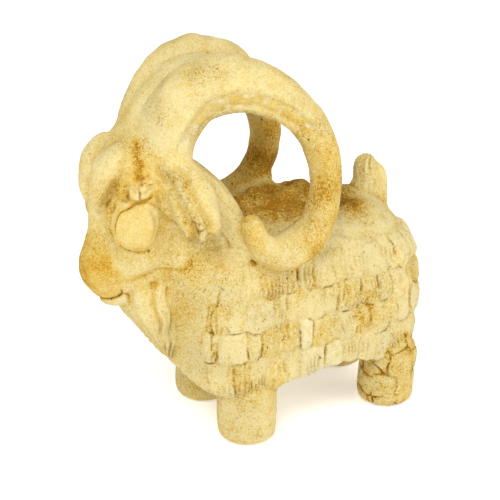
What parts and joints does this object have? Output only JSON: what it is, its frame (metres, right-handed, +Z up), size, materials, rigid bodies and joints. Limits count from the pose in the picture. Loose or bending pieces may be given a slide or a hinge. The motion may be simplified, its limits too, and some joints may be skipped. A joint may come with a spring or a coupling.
{
  "type": "clay goat figure",
  "caption": "Hand-built clay goat with large curled horns pressed onto its shoulders, drooping ears, beard, upright tail, tiled fleece and stubby round legs.",
  "frame": {"origin": "on the standing plane, under the centre of the figure's bounding box", "axes": "-Y the way the goat looks, +X its left side, +Z up"},
  "size_m": [0.1198, 0.2233, 0.2416],
  "materials": {
    "washed_clay": "matte",
    "ochre_clay": "matte",
    "bare_clay": "matte"
  },
  "bodies": {
    "root": {"trunk_shell": "washed_clay", "neck": "washed_clay", "head_shell": "washed_clay", "snout": "ochre_clay", "lower_lip": "bare_clay", "nape": "ochre_clay", "crown_pad": "ochre_clay", "forelock_left": "washed_clay", "forelock_right": "washed_clay", "eye_left": "washed_clay", "eye_right": "washed_clay", "brow_left": "washed_clay", "brow_right": "washed_clay", "ear_left": "washed_clay", "ear_right": "washed_clay", "horn_left": "washed_clay", "horn_right": "washed_clay", "beard": "ochre_clay", "tail": "washed_clay", "leg_front_left": "ochre_clay", "leg_front_right": "ochre_clay", "leg_hind_left": "ochre_clay", "leg_hind_right": "ochre_clay", "fleece_left_row_1": "washed_clay", "fleece_left_row_2": "washed_clay", "fleece_left_row_3": "washed_clay", "fleece_left_row_4": "washed_clay", "fleece_right_row_1": "washed_clay", "fleece_right_row_2": "washed_clay", "fleece_right_row_3": "washed_clay", "fleece_right_row_4": "washed_clay", "fleece_rump_row_1": "washed_clay", "fleece_rump_row_2": "washed_clay", "fleece_rump_row_3": "washed_clay", "fleece_rump_row_4": "washed_clay"}
  },
  "joints": []
}
